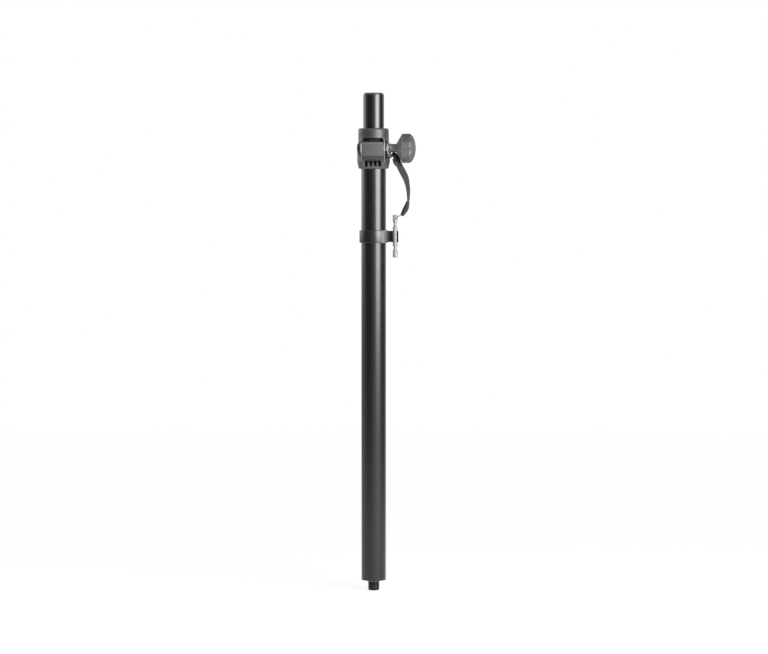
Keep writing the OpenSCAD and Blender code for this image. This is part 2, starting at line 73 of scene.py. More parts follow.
def makeCamera(c):
    data = bpy.data.cameras.new("photoCamera")
    data.lens = c["lens"]
    data.sensor_width = c["sensor"]
    data.clip_start, data.clip_end = c["clip"]
    eye = addPiece("photoCamera", data)
    a, x, y = aroundPole(c)
    eye.location = (x, y, c["height"])
    eye.rotation_euler = (math.radians(90.0 - c["pitch"]), 0.0, a - math.radians(c["turn"]))
    bpy.context.scene.camera = eye


makeCamera(camera)
print("camera ready")


# Shader maths: a Value wraps a socket, and the usual signs add Math nodes
class Value:
    def __init__(self, finish, socket):
        self.finish, self.socket = finish, socket

    def maths(self, operation, *values):
        return self.finish.node("ShaderNodeMath", {"operation": operation}, dict(enumerate(values)))

    def __add__(self, other):
        return self.maths("ADD", self, other)

    def __radd__(self, other):
        return self.maths("ADD", other, self)

    def __sub__(self, other):
        return self.maths("SUBTRACT", self, other)

    def __rsub__(self, other):
        return self.maths("SUBTRACT", other, self)

    def __mul__(self, other):
        return self.maths("MULTIPLY", self, other)

    def __pow__(self, other):
        return self.maths("POWER", self, other)

    def above(self, level, soft):
        # 0 below level - soft, 1 above level + soft, and a straight slope between
        return self.finish.node("ShaderNodeMapRange", {"clamp": True}, {
            "Value": self, "From Min": level - soft, "From Max": level + soft, "To Min": 0.0, "To Max": 1.0})

    def below(self, level, soft):
        return 1.0 - self.above(level, soft)

    def band(self, low, lowSoft, high, highSoft):
        # 1 between low and high
        return self.above(low, lowSoft) * self.below(high, highSoft)

    def wave(self, times):
        # sin(2 pi times v)
        return self.maths("SINE", self * (2.0 * math.pi * times))


class Finish:
    def __init__(self, name, colour, roughness, **constants):
        self.material = bpy.data.materials.new(name)
        self.material.use_nodes = True
        self.tree = self.material.node_tree
        self.shader = self.tree.nodes["Principled BSDF"]
        self.shader.inputs["Base Color"].default_value = (*colour, 1.0)
        self.shader.inputs["Roughness"].default_value = roughness
        for socket, value in constants.items():
            self.shader.inputs[socket.replace("_", " ")].default_value = value
        self.bumps = None

    def node(self, kind, settings=None, sockets=None, output=0):
        made = self.tree.nodes.new(kind)
        for key, value in (settings or {}).items():
            setattr(made, key, value)
        for key, value in (sockets or {}).items():
            if isinstance(value, Value):
                self.tree.links.new(value.socket, made.inputs[key])
            else:
                made.inputs[key].default_value = value
        return Value(self, made.outputs[output])

    def place(self, stretch=(1.0, 1.0, 1.0)):
        coordinates = self.node("ShaderNodeTexCoord", output="Object")
        return self.node("ShaderNodeMapping", None, {"Vector": coordinates, "Scale": stretch})

    def axes(self):
        # The place's x, y and z in metres
        parts = self.node("ShaderNodeSeparateXYZ", None, {0: self.place()})
        return [Value(self, socket) for socket in parts.socket.node.outputs]

    def noise(self, scale, detail, stretch=(1.0, 1.0, 1.0)):
        return self.node("ShaderNodeTexNoise", {"noise_dimensions": "3D"}, {
            "Vector": self.place(stretch), "Scale": scale, "Detail": detail, "Roughness": 0.55})

    def cells(self, scale):
        return self.node("ShaderNodeTexVoronoi", {"feature": "F1"}, {"Vector": self.place(), "Scale": scale})

    def tint(self, mask, other):
        base = self.shader.inputs["Base Color"]
        mixed = self.node("ShaderNodeMix", {"data_type": "RGBA"}, {0: mask, 7: (*other, 1.0)}, output=2)
        mixInputs = mixed.socket.node.inputs
        if base.is_linked:
            self.tree.links.new(base.links[0].from_socket, mixInputs[6])
        else:
            mixInputs[6].default_value = base.default_value
        self.tree.links.new(mixed.socket, base)

    def rough(self, value):
        self.tree.links.new(value.socket, self.shader.inputs["Roughness"])

    def bump(self, height, depth):
        # depth is the height in metres of a bump of 1
        sockets = {"Height": height, "Distance": depth, "Strength": 1.0}
        if self.bumps:
            sockets["Normal"] = self.bumps
        self.bumps = self.node("ShaderNodeBump", None, sockets)
        self.tree.links.new(self.bumps.socket, self.shader.inputs["Normal"])


def tubeCoat():
    # Satin black powder coat: faint orange peel, and dull patches where hands slide it
    f = Finish("tubeCoat", (0.0045, 0.0045, 0.0048), 0.27, Specular_IOR_Level=0.5)
    handled = f.noise(9.0, 4.0, stretch=(1.0, 1.0, 0.35))
    f.rough(0.24 + handled * 0.09)
    f.tint(handled.above(0.62, 0.14) * 0.35, (0.008, 0.008, 0.0085))
    f.bump(f.noise(520.0, 1.0), 0.000035)
    return f.material


def slidingCoat():
    # The same coat where the clamp and bushes have drawn fine lines up and down it
    f = Finish("slidingCoat", (0.0045, 0.0045, 0.0048), 0.26, Specular_IOR_Level=0.5)
    lines = f.noise(900.0, 2.0, stretch=(1.0, 1.0, 0.012))
    drawn = lines.above(0.63, 0.05) * f.noise(14.0, 2.0).above(0.52, 0.1)
    f.rough(0.23 + f.noise(9.0, 4.0) * 0.07 + drawn * 0.1)
    f.tint(drawn * 0.4, (0.016, 0.016, 0.0165))
    f.bump(f.noise(520.0, 1.0), 0.00003)
    return f.material


def grained(name, colour, roughness):
    # Moulded plastic: a fine spark-eroded grain with slow changes of gloss
    f = Finish(name, colour, roughness, Specular_IOR_Level=0.5)
    flow = f.noise(38.0, 3.0)
    f.rough(roughness - 0.05 + flow * 0.1)
    f.tint(flow.above(0.6, 0.2) * 0.3, tuple(c * 1.35 for c in colour))
    f.bump(f.noise(2600.0, 2.0), 0.00002)
    return f


def moulded(name, colour, roughness):
    return grained(name, colour, roughness).material


# Where the housing is painted with shade, with a highlight or darker on top: from a level, its softness, to a
# level, its softness
housingMarks = {
    "pocket": [0.7397, 0.0003, 0.7462, 0.0002],
    "brow": [0.7380, 0.0002, 0.7405, 0.0002],
    "wearAndHighlight": [0.7364, 0.0003, 0.7380, 0.0002],
    "chin": [0.7086, 0.0002, 0.7160, 0.0003],
    "slots": [0.6968, 0.0002, 0.7080, 0.0004],
    "tops": [0.7040, 0.0010, 0.7084, 0.0002],
    "skin": [0.7466, 0.0028],
    "wall": [0.0252, 0.0004],       # distances from the pole's axis
    "block": [0.0280, 0.0002],
    "front": [-0.012, 0.001],       # y
    "ribs": [0.000207, 0.00002],    # x squared
}


def housingMoulding(c):
    # The same plastic; painted shade darkens the cored pocket, the brow's upper part, the chin, the ribs'
    # tops and the slots between the ribs, a painted highlight lightens the brow's front edge below it, and
    # the ring above the pocket is painted darker
    f = grained("housingPlastic", (0.042, 0.042, 0.043), 0.46)
    x, y, z = f.axes()
    around = (x * x + y * y) ** 0.5
    behind, before = around.below(*c["wall"]), around.above(*c["block"])
    front, ribs = y.below(*c["front"]), (x * x).below(*c["ribs"])
    pocket, slots = z.band(*c["pocket"]), z.band(*c["slots"])
    brow, tops = before * z.band(*c["brow"]), ribs * z.band(*c["tops"])
    hollow = front * (behind * (pocket + slots) + brow + tops)
    chin = before * z.band(*c["chin"])
    wearAndHighlight = before * z.band(*c["wearAndHighlight"])
    # The ring above the pocket painted darker
    f.tint(z.above(*c["skin"]) * 0.9, (0.018, 0.018, 0.0185))
    # Painted highlight along the brow's front edge
    f.tint(wearAndHighlight * 0.6, (0.085, 0.085, 0.086))
    # Painted shade on the downward-facing chin
    f.tint(chin * 0.85, (0.01, 0.01, 0.01))
    # Painted shade in the pocket and the slots, on the brow's upper part and over the ribs' tops
    f.tint(hollow, (0.003, 0.003, 0.003))
    f.rough(0.46 + (hollow + chin * 0.5) * 0.4)
    return f.material


# The caps' painted highlight on the rim: its place along x, its distance from the bolt, and its middle as
# height squared
capMarks = {
    "bolt": [-0.023, 0.7287],
    "rim": [0.01885, 0.00012, 0.01965, 0.00012],
    "outside": [0.0125, 0.0003],
    "middle": [0.00004, 0.00002],
}


def capMoulding(name, c):
    # The jaws' end caps: glossier than the housing, with a painted highlight along the plate's rim
    f = grained(name, (0.045, 0.045, 0.046), 0.38)
    x, y, z = f.axes()
    out = (x * x) ** 0.5
    low, up = y - c["bolt"][0], z - c["bolt"][1]
    dome = (low * low + up * up) ** 0.5
    rim = out.band(*c["rim"]) * dome.above(*c["outside"])
    # Painted highlight over the rim
    f.tint(rim * 0.7, (0.2, 0.2, 0.202))
    # Painted highlight, brighter, about the bolt's height
    f.tint(rim * (up * up).below(*c["middle"]) * 0.8, (0.6, 0.6, 0.605))
    return f.material


clipMarks = {"flare": [0.0140, 0.0016, 0.0212, 0.0042], "front": [-0.004, 0.002]}


def clipMoulding(c):
    # Glossy black, with a painted highlight where the band flares out into the arm
    f = grained("clipPlastic", (0.0055, 0.0055, 0.0057), 0.31)
    x, y, z = f.axes()
    # Painted highlight on the front of the flare
    f.tint(x.band(*c["flare"]) * y.below(*c["front"]) * 0.8, (0.15, 0.15, 0.152))
    return f.material


knobMarks = {"skin": [0.7425, 0.0065], "cone": [0.0385, 0.001, 0.0492, 0.0012]}


def knobMoulding(c):
    # Ribbed by the mould; painted shade darkens the side that lies uppermost when the clamp is closed,
    # and the cone behind the rim is painted paler as painted light
    f = grained("knobPlastic", (0.046, 0.046, 0.047), 0.5)
    x, y, z = f.axes()
    # Painted shade on the upper side
    f.tint(z.above(*c["skin"]) * 0.85, (0.008, 0.008, 0.0082))
    # Painted light on the cone behind the rim
    f.tint(x.band(*c["cone"]) * 0.7, (0.12, 0.12, 0.121))
    return f.material


def brightSteel(name, shade):
    # Satin nickel plate, with fine turned lines and a few dull marks
    f = Finish(name, (shade, shade, shade * 1.02), 0.3, Specular_IOR_Level=0.5)
    marks = f.noise(160.0, 4.0)
    f.rough(0.24 + marks * 0.12)
    f.bump(f.noise(1400.0, 1.0, stretch=(0.1, 0.1, 2.2)), 0.0000006)
    return f


pinMarks = {"hole": [0.0371, 0.6109], "radius": [0.0023, 0.0001]}


def pinSteel(c):
    # Painted shade: the plate is painted dark over the cross hole near the pin's head
    f = brightSteel("pinSteel", 0.17)
    x, y, z = f.axes()
    across, up = x - c["hole"][0], z - c["hole"][1]
    hole = ((across * across + up * up) ** 0.5).below(*c["radius"])
    # Painted shade over the cross hole
    f.tint(hole, (0.01, 0.01, 0.01))
    return f.material


def blackSteel():
    # Blackened steel: oiled, slightly brown, with bare steel at the rubbed places
    f = Finish("blackSteel", (0.022, 0.021, 0.021), 0.36, Metallic=0.65)
    wearAndHighlight = f.noise(240.0, 5.0).above(0.66, 0.06)
    f.rough(0.3 + f.noise(90.0, 3.0) * 0.16)
    f.tint(wearAndHighlight * 0.6, (0.12, 0.115, 0.11))
    f.bump(f.noise(900.0, 3.0), 0.00002)
    return f.material


def threadSteel():
    # Blackened thread whose crests are worn bright along the stud's outside
    f = Finish("threadSteel", (0.018, 0.018, 0.018), 0.34, Metallic=0.75)
    x, y, z = f.axes()
    crest = ((x * x + y * y) ** 0.5).above(0.00978, 0.00014)
    worn = crest * f.noise(300.0, 4.0).above(0.45, 0.2)
    f.tint(worn * 0.75, (0.2, 0.195, 0.19))
    f.rough(0.36 - worn * 0.12 + f.noise(160.0, 3.0) * 0.06)
    f.bump(f.noise(1500.0, 3.0), 0.000015)
    return f.material


def zincSteel():
    # Zinc plated: soft grey with a crystalline mottle
    f = Finish("zincSteel", (0.56, 0.56, 0.55), 0.32, Metallic=1.0)
    mottle = f.cells(420.0)
    f.rough(0.26 + mottle * 0.2)
    f.tint(f.noise(120.0, 3.0).above(0.55, 0.2) * 0.35, (0.42, 0.42, 0.43))
    f.bump(mottle, 0.000006)
    return f.material


def castPlug():
    # Die-cast plug: dark grey with a sandy skin
    f = Finish("castPlug", (0.1, 0.1, 0.103), 0.48, Metallic=0.8)
    f.rough(0.42 + f.noise(70.0, 3.0) * 0.14)
    f.tint(f.noise(60.0, 4.0).above(0.58, 0.15) * 0.4, (0.15, 0.15, 0.152))
    f.bump(f.noise(1100.0, 4.0), 0.00005)
    return f.material


def nylon():
    # Natural nylon: waxy off-white with grey where it has rubbed
    f = Finish("nylon", (0.72, 0.7, 0.63), 0.4, Subsurface_Weight=0.1,
               Subsurface_Radius=(0.002, 0.002, 0.002))
    f.rough(0.36 + f.noise(50.0, 3.0) * 0.12)
    f.tint(f.noise(300.0, 3.0, stretch=(1.0, 1.0, 0.05)).above(0.6, 0.1) * 0.3, (0.5, 0.49, 0.45))
    f.bump(f.noise(1500.0, 2.0), 0.00001)
    return f.material


# Lanyard: the part's listed points, beside the clamp bolt, with the turn of the face and the share of the
# full width at each; the first four lie closer under the knob, as in the photograph
lanyard = {
    "boltHeight": 728.7,
    "boltFront": 23.0,
    "route": [
        [35.0, -19.6, -11.4, 46.0, 0.88],
        [38.6, -17.0, -15.6, 59.0, 0.96],
        [40.9, -18.6, -21.9, 67.0, 1.0],
        [43.4, -20.3, -27.6, 70.0, 1.0],
        [47.2, -21.6, -35.2, 76.0, 1.0],
        [50.8, -21.0, -42.0, 85.0, 1.0],
        [54.6, -19.8, -50.0, 62.0, 1.0],
        [57.2, -17.8, -60.0, 42.0, 1.0],
        [58.6, -15.6, -70.0, 31.0, 1.0],
        [59.0, -13.6, -80.0, 22.0, 1.0],
        [58.6, -12.0, -89.0, 16.0, 1.0],
        [57.2, -11.0, -96.5, 30.0, 0.92],
        [55.0, -10.4, -103.2, 42.0, 0.82],
    ],
    "width": 11.0,
    "thick": 1.3,
    "foldShare": 0.66,
    "tailShare": 0.72,
    "tailOpen": 1.8,     # more room between the layers beside the fold
    "tailAside": [[4.4, 5.6, 4.7, 4.0, 4.0], [0.8, 1.2, 1.5, 1.5]],    # from the fold; both sewn on askew
    "foldTurns": [120.0, 80.0, 40.0, 0.0, -40.0, -80.0, -120.0],
    "gap": 0.5,          # between the webbing and a wire
    "layer": 1.65,       # from one sewn layer to the other
    "steps": 32,         # rows for each span
    "rib": 1.25,         # from one rib of the weave to the next
    "edgePoints": 7,     # round each edge
    "facePoints": 12,    # over each face
    "ring": {"top": [24.1, -23.0, 735.1], "mid": 10.3, "wire": 2.2, "lean": 11.0, "yaw": 9.0},
    "small": {"eye": [36.5, -4.0, 611.1], "mid": 9.3, "wire": 1.3, "lean": 30.0, "inset": 8.5, "grip": 40.0},
}


def unit(v):
    return v / np.linalg.norm(v, axis=-1, keepdims=True)


def runOf(places, i):
    return unit(places[min(len(places) - 1, i + 1)] - places[max(0, i - 1)])


def squareTo(run, v):
    # v made square to the run
    return unit(v - np.sum(v * run, axis=-1, keepdims=True) * run)


def acrossAt(run, turn):
    # Across the webbing: level at turn 0, then turned about the run
    level = squareTo(run, np.array([0.0, 1.0, 0.0]))
    t = math.radians(turn)
    return math.cos(t) * level + math.sin(t) * np.cross(run, level)


def ringFold(c, wire, inwards, along, towards, mid, wireSize):
    # Fold round a wire: 240 degrees of a circle, moved in by half the wire's curve across the fold
    inner = mid - wireSize / 2
    sag = inner - math.sqrt(inner ** 2 - (c["foldShare"] * c["width"] / 2) ** 2)
    middle = wire + sag / 2 * inwards
    radius = wireSize / 2 + sag / 2 + c["thick"] / 2 + c["gap"]
    out = squareTo(along, unit(towards - middle))
    side = np.cross(out, along)
    a = np.radians(c["foldTurns"])[:, None]
    places = middle - radius * np.cos(a) * out + radius * np.sin(a) * side
    return np.hstack([places, np.tile([*along, c["foldShare"]], (len(places), 1))])


def sewnTail(c, points, aside):
    # The run's first points again, one layer off its face, listed towards the fold, where it opens
    rows = []
    for i in reversed(range(len(aside))):
        run = runOf(points[:, :3], i)
        across = squareTo(run, points[i, 3:6])
        off = c["layer"] + c["tailOpen"] * max(0.0, 1.0 - i / 2)
        place = points[i, :3] + off * np.cross(run, across) - aside[i] * across
        rows.append([*place, *across, c["tailShare"]])
    return np.array(rows)


def smoothLine(points, steps):
    # p(t) = 0.5 (2b + (c-a) t + (2a-5b+4c-d) t2 + (3b-a-3c+d) t3) between b and c
    a, b, c, d = (q[:, None, :] for q in (points[:-3], points[1:-2], points[2:-1], points[3:]))
    t = (np.arange(steps) / steps)[None, :, None]
    rows = 0.5 * (2 * b + (c - a) * t + (2 * a - 5 * b + 4 * c - d) * t ** 2
                  + (3 * b - a - 3 * c + d) * t ** 3)
    return np.vstack([rows.reshape(-1, points.shape[1]), points[-2]])


def lanyardLine(c):
    # Rows of place, direction across and share of the width; also the two wires that the folds hold
    route = np.array(c["route"])
    places = route[:, :3] + [0.0, 0.0, c["boltHeight"]]
    across = np.array([acrossAt(runOf(places, i), route[i, 3]) for i in range(len(route))])
    run = np.hstack([places, across, route[:, 4:5]])
    back = run[::-1]
    ring, small = c["ring"], c["small"]
    lean, yaw = math.radians(ring["lean"]), math.radians(ring["yaw"])
    tilt, grip = math.radians(small["lean"]), math.radians(small["grip"])
    down = np.array([math.cos(yaw) * math.sin(lean), -math.sin(yaw) * math.sin(lean), -math.cos(lean)])
    out = np.array([math.cos(tilt), 0.0, math.sin(tilt)])
    ringFoot = np.array(ring["top"]) + 2 * ring["mid"] * down
    held = math.cos(grip) * out - math.sin(grip) * np.array([0.0, 1.0, 0.0])
    alongWire = math.sin(grip) * out + math.cos(grip) * np.array([0.0, 1.0, 0.0])
    smallEnd = np.array(small["eye"]) + small["inset"] * out + small["mid"] * held
    tail, lastTail = sewnTail(c, run, c["tailAside"][0]), sewnTail(c, back, c["tailAside"][1])
    topFold = ringFold(c, ringFoot, -down, np.array([math.sin(yaw), math.cos(yaw), 0.0]),
                       (run[0, :3] + tail[-1, :3]) / 2, ring["mid"], ring["wire"])
    footFold = ringFold(c, smallEnd, -held, alongWire, (back[0, :3] + lastTail[-1, :3]) / 2,
                        small["mid"], small["wire"])
    whole = np.vstack([tail, topFold, run, footFold[::-1], lastTail[::-1]])
    return smoothLine(whole, c["steps"]), ringFoot


def meshFromGrid(name, grid, uv=None):
    # grid[i, j] is a point: i runs along and j round, so the last j joins the first, and both ends close
    rows, cols = grid.shape[:2]
    index = np.arange(rows * cols).reshape(rows, cols)
    ahead = np.roll(index, -1, axis=1)
    quads = np.stack([index[:-1], ahead[:-1], ahead[1:], index[1:]], axis=-1).reshape(-1, 4)
    faces = quads.tolist() + [index[0, ::-1].tolist(), index[-1].tolist()]
    mesh = bpy.data.meshes.new(name)
    mesh.from_pydata((grid.reshape(-1, 3) * mm).tolist(), [], faces)
    mesh.polygons.foreach_set("use_smooth", [True] * len(faces))
    if uv is not None:
        layer = mesh.uv_layers.new(name="UVMap")
        loops = np.zeros(len(mesh.loops), int)
        mesh.loops.foreach_get("vertex_index", loops)
        values = uv.reshape(-1, 2)[loops]
        # The corners past the seam count on to 1 instead of falling back to 0
        corner = np.arange(len(loops))
        wraps = (corner // 4 < len(quads)) & (corner // 4 % cols == cols - 1) & (corner % 4 % 3 != 0)
        values[wraps, 1] += 1.0
        layer.data.foreach_set("uv", values.ravel())
    mesh.update()
    return addPiece(name, mesh)


def webbingFinish(ribSpace):
    # Narrow woven tape: round ribs across it, warp threads along it, and a paler fuzz on the high places
    f = Finish("webbing", (0.013, 0.013, 0.0135), 0.8, Specular_IOR_Level=0.25, Sheen_Weight=0.1,
               Sheen_Roughness=0.4)
    uv = f.node("ShaderNodeSeparateXYZ", None, {0: f.node("ShaderNodeTexCoord", output="UV")})
    along, around = uv, Value(f, uv.socket.node.outputs[1])
    rib = along.wave(1.0 / ribSpace)
    warp = around.wave(26.0)
    weave = (0.5 + rib * 0.5) * 0.6 + (0.5 + warp * rib * 0.5) * 0.4
    f.bump(weave, 0.00016)
    f.bump(f.noise(2400.0, 3.0), 0.00003)
    f.tint(weave.above(0.62, 0.3) * 0.5, (0.032, 0.032, 0.0335))
    f.rough(0.84 - weave * 0.14)
    return f.material


def threadFinish():
    # Waxed sewing thread, a little paler than the webbing
    f = Finish("sewingThread", (0.045, 0.045, 0.047), 0.55, Specular_IOR_Level=0.4)
    f.tint(f.noise(3000.0, 2.0).above(0.55, 0.2) * 0.5, (0.08, 0.08, 0.082))
    f.bump(f.noise(4000.0, 2.0), 0.00003)
    return f.material


def placeLanyard(piece):
    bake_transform(piece)


def makeLanyard(c):
    # Half thickness along the webbing: h(s) = h (0.95 + 0.09 sin(2 pi s / rib))
    line, ringFoot = lanyardLine(c)
    centre = line[:, :3]
    run = unit(np.gradient(centre, axis=0))
    across = squareTo(run, line[:, 3:6])
    face = np.cross(run, across)
    length = np.concatenate([[0.0], np.cumsum(np.linalg.norm(np.diff(centre, axis=0), axis=1))])
    w, h = line[:, 6:7] * c["width"] / 2, c["thick"] / 2
    ribbed = h * (0.95 + 0.09 * np.sin(2 * np.pi * length / c["rib"]))[:, None]
    bend = np.radians(np.linspace(90.0, -90.0, c["edgePoints"]))[None, :]
    reach = np.linspace(-1.0, 1.0, c["facePoints"])[None, 1:-1]
    side = np.hstack([reach * (w - h), w - h + h * np.cos(bend)])
    rise = np.hstack([ribbed * np.ones_like(reach), ribbed * np.sin(bend)])
    sideways = np.hstack([side, -side])[:, :, None]
    thickways = np.hstack([rise, -rise])[:, :, None]
    grid = centre[:, None, :] + sideways * across[:, None, :] + thickways * face[:, None, :]
    around = np.linspace(0.0, 1.0, grid.shape[1], endpoint=False)
    uv = np.stack(np.broadcast_arrays(length[:, None], around[None, :]), axis=-1)
    strap = meshFromGrid("lanyardWebbing", grid, uv)
    strap.data.materials.append(webbingFinish(c["rib"]))
    placeLanyard(strap)
    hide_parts("lanyard_strap")
    # The free stretch goes from the last row of one fold to the first of the other; the smooth line
    # starts at the second row
    first = (len(c["tailAside"][0]) + len(c["foldTurns"]) - 2) * c["steps"]
    last = first + (len(c["route"]) + 1) * c["steps"] + 1
    free = centre[first:last:8] * mm
    tuple(ringFoot * mm)
    return {"centre": centre, "run": run, "across": across, "face": face, "width": line[:, 6] * c["width"]}


# Sewing: close stitches across both layers beside each fold
sewing = {
    "count": 9,
    "thread": 0.2,
    "reach": 0.4,
    "slant": 0.28,
    "spans": [0.2, 13.25, 21.2, 32.25],    # rows of the line at which a run of stitches begins
    "part": 0.55,                          # rows that a run takes up
}


def makeStitches(c, strap, steps, thick):
    # A stitch lies on the outer face: p(u) = centre + u across + slant u run, u from -reach to reach
    u = np.linspace(-1.0, 1.0, 7)
    a = np.linspace(0.0, 2 * np.pi, 8, endpoint=False)
    rows, faces, count = [], [], 0
    for start in c["spans"]:
        for k in range(c["count"]):
            i = int(round((start + c["part"] * k / (c["count"] - 1)) * steps))
            centre, run, across, face = (strap[key][i] for key in ("centre", "run", "across", "face"))
            lean = c["slant"] * (-1) ** k
            middle = centre - face * (thick / 2 + 0.02)
            sideways = (u * c["reach"] * strap["width"][i])[:, None] * across
            places = middle + sideways + (u * lean)[:, None] * run
            size = c["thread"] * np.sqrt(np.clip(1.06 - u ** 2, 0.0, 1.0))[:, None, None]
            ring = np.cos(a)[None, :, None] * run + np.sin(a)[None, :, None] * face
            grid = places[:, None, :] + size * ring
            index = count + np.arange(grid.shape[0] * 8).reshape(-1, 8)
            ahead = np.roll(index, -1, axis=1)
            quads = np.stack([index[:-1], index[1:], ahead[1:], ahead[:-1]], axis=-1)
            faces += quads.reshape(-1, 4).tolist()
            faces += [index[0].tolist(), index[-1, ::-1].tolist()]
            rows.append(grid.reshape(-1, 3))
            count += grid.shape[0] * 8
    mesh = bpy.data.meshes.new("lanyardStitches")
    mesh.from_pydata((np.vstack(rows) * mm).tolist(), [], faces)
    mesh.polygons.foreach_set("use_smooth", [True] * len(faces))
    piece = addPiece("lanyardStitches", mesh)
    mesh.materials.append(threadFinish())
    placeLanyard(piece)


strapFrames = makeLanyard(lanyard)
makeStitches(sewing, strapFrames, lanyard["steps"], lanyard["thick"])
print("lanyard made")


# Base stud: a coarse metric thread turned below a plain shoulder
stud = {
    "radius": 10.0, "pitch": 2.5, "depth": 1.45, "length": 17.7, "shoulder": 2.9,
    "chamfer": 1.8, "shank": 8.0, "shankTop": 44.9, "round": 128, "rows": 236,
    "crest": 0.12, "flank": 0.74,    # shares of half a pitch
    "runOut": 1.1, "tip": 0.05,
}


def makeStud(c):
    # r(z, a) = R - depth * |saw(z / pitch + a / 2 pi)|, flattened at crest and root
    z = np.linspace(-c["length"], 0.0, c["rows"])[:, None]
    a = np.linspace(0.0, 2 * np.pi, c["round"], endpoint=False)[None, :]
    saw = np.abs(2.0 * ((z / c["pitch"] - a / (2 * np.pi)) % 1.0) - 1.0)
    cut = np.clip((saw - c["crest"]) / c["flank"], 0.0, 1.0) * c["depth"]
    fade = np.clip((-z - c["shoulder"]) / c["runOut"], 0.0, 1.0)
    lead = c["radius"] - c["chamfer"] + (z + c["length"])
    r = np.minimum(c["radius"] - cut * fade, np.broadcast_to(lead, cut.shape))
    ring = np.stack([r * np.cos(a), r * np.sin(a), np.broadcast_to(z, r.shape)], axis=-1)
    circles = [(c["tip"], -c["length"]), (c["shank"], 0.0), (c["shank"], c["shankTop"] - 1.0),
               (c["shank"] - 1.0, c["shankTop"])]
    low, *shank = [np.stack([q * np.cos(a), q * np.sin(a), np.full_like(a, h)], axis=-1) for q, h in circles]
    piece = meshFromGrid("threadedStud", np.concatenate([low, ring, *shank], axis=0))
    piece.data.materials.append(threadSteel())
    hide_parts("base_stud")
    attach(piece, "base")


makeStud(stud)
print("stud threaded")


# Knob: bore, neck, cone, lobed rim and crown as one turned surface
knob = {
    "hub": 27.1, "front": 23.0, "height": 728.7, "radius": 24.75, "length": 44.4,
    "lobes": 7, "depth": 2.1, "first": 11.0, "rim": 22.5, "crown": 10.5,
    "round": 420, "hole": 5.05, "bore": 12.6, "lip": 0.8, "neckRadius": 7.1, "edge": 1.6,
    "neck": [[7.9, 1.5], [7.85, 2.2], [7.6, 2.75], [7.3, 3.2], [7.1, 4.2], [7.0, 6.5], [7.0, 8.2],
             [7.05, 10.6], [7.5, 12.0], [8.6, 12.9], [10.2, 13.7]],
    "cone": [13.1, 7.2],           # outwards and forwards from the neck's end
    "dip": 0.29, "dipFrom": 12.0,    # a dip's half width as a share of a lobe, and where dips begin
}


def knobProfile(c):
    # From the bore at the hub, over the neck and the cone, round the rim and up to the crown
    corner = np.radians(np.linspace(-90.0, 0.0, 6))
    lip = np.stack([c["neckRadius"] + c["lip"] * np.cos(corner), c["lip"] + c["lip"] * np.sin(corner)],
                   axis=-1)
    neck = np.array(c["neck"])
    cone = neck[-1] + np.linspace(0.0, 1.0, 22)[1:-1, None] * np.array(c["cone"])
    turn = np.radians(np.linspace(-62.0, 0.0, 9))
    edge = np.stack([c["radius"] - c["edge"] + c["edge"] * np.cos(turn), c["rim"] + c["edge"] * np.sin(turn)],
                    axis=-1)
    top = c["length"] - c["crown"]
    side = np.stack([np.full(10, c["radius"]), np.linspace(c["rim"], top, 11)[1:]], axis=-1)
    s = np.radians(np.linspace(0.0, 90.0, 40))[1:-1]
    crown = np.stack([c["radius"] * np.cos(s), top + c["crown"] * np.sin(s) ** 1.24], axis=-1)
    bore = [[c["hole"], c["bore"]], [c["hole"], 0.4], [c["hole"] + 0.4, 0.0]]
    return np.vstack([bore, lip, neck, cone, edge, side, crown, [[0.02, c["length"]]]])


def makeKnob(c):
    # r = profile(s) - depth * hollow(a) * reach(s): hollow is a soft round dip between two lobes
    profile = knobProfile(c)
    a = np.linspace(0.0, 2 * np.pi, c["round"], endpoint=False)[None, :]
    r, x = profile[:, 0:1], profile[:, 1:2]
    phase = ((a / (2 * np.pi) * c["lobes"] - c["first"] * c["lobes"] / 360.0 + 0.5) % 1.0) - 0.5
    dip = np.clip(1.0 - (phase / c["dip"]) ** 2, 0.0, 1.0)
    dip = dip ** 2 * (3.0 - 2.0 * dip) * 0.45 + dip * 0.55
    reach = np.clip((r - c["dipFrom"]) / (c["radius"] - c["dipFrom"]), 0.0, 1.0) ** 2.2
    radius = r - c["depth"] * dip * reach
    grid = np.stack([np.broadcast_to(x + c["hub"], radius.shape),
                     -c["front"] - radius * np.cos(a), c["height"] - radius * np.sin(a)], axis=-1)
    piece = meshFromGrid("starKnob", grid[:, ::-1])
    piece.data.materials.append(knobMoulding(knobMarks))
    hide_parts("knob")
    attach(piece, "knob")


makeKnob(knob)
print("knob made")


# Rounded copies: CAD pieces whose moulded or turned edges are broken by a small radius
rounding = {
    "weld": 0.000002,
    "flat": 0.4,       # degrees between faces that count as one plane
    "bevelled": 32.0,  # degrees from which an edge is rounded
    "sharp": 38.0,     # degrees from which an edge stays sharp in the shading
    "segments": 3,
}


def roundedCopy(c, node, name, body, material, width):
    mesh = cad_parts[node].data.copy()
    mesh.materials.clear()
    piece = addPiece(name, mesh)
    weld = piece.modifiers.new("weld", "WELD")
    weld.merge_threshold = c["weld"]
    planar = piece.modifiers.new("planar", "DECIMATE")
    planar.decimate_type = "DISSOLVE"
    planar.angle_limit = math.radians(c["flat"])
    bevel = piece.modifiers.new("bevel", "BEVEL")
    bevel.width = width
    bevel.segments = c["segments"]
    bevel.limit_method = "ANGLE"
    bevel.angle_limit = math.radians(c["bevelled"])
    bevel.use_clamp_overlap = True
    bevel.miter_outer = "MITER_ARC"
    bevel.harden_normals = False
    bpy.context.view_layer.update()
    done = bpy.data.meshes.new_from_object(piece.evaluated_get(bpy.context.evaluated_depsgraph_get()))
    piece.modifiers.clear()
    piece.data = done
    done.name = name
    done.materials.clear()
    done.materials.append(material)
    done.shade_smooth()
    done.set_sharp_from_angle(angle=math.radians(c["sharp"]))
    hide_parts(node)
    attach(piece, body)


